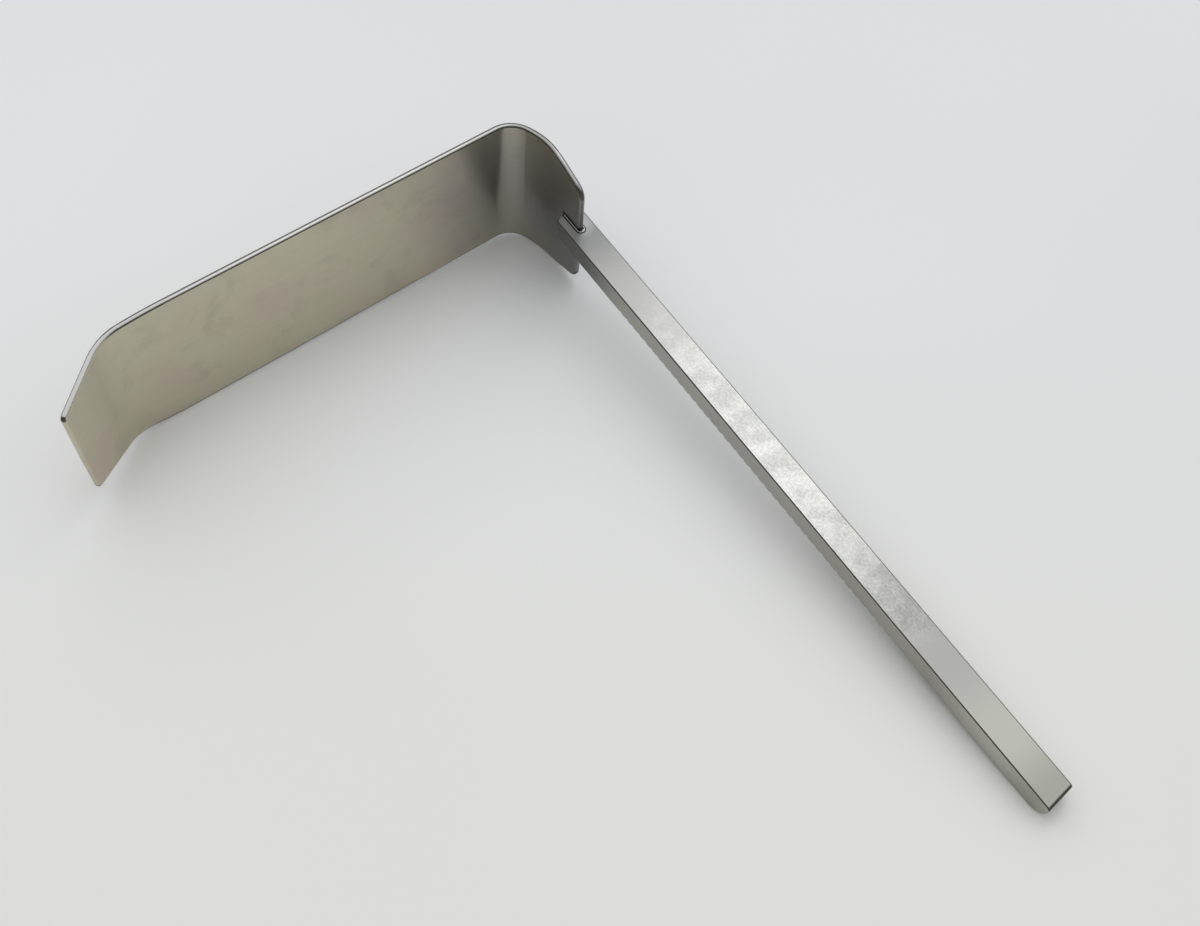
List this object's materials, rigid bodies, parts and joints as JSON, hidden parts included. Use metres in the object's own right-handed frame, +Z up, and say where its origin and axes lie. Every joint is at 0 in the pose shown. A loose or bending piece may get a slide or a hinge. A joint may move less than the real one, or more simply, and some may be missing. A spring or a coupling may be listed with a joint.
{
  "type": "handheld surgical retractor",
  "caption": "Deep retractor: a broad bent steel blade with a turned lip, brazed into the forked end of a straight flat bar handle with grip grooves underneath.",
  "frame": {"origin": "on the ground, below the middle of the whole part as it lies at rest", "axes": "+X along the handle towards its free end, -Y from the handle towards the lip, +Z up, away from the grooved underside"},
  "size_m": [0.3022, 0.202, 0.061],
  "materials": {
    "blade_steel": "satin, fine grain along the sheet, bright rubbed edges",
    "handle_steel": "satin, frosted along the top",
    "filler_metal": "polished flush fillet of brazing metal"
  },
  "bodies": {
    "root": {"blade": "blade_steel", "handle": "handle_steel", "brazed_seam": "filler_metal"}
  },
  "joints": []
}
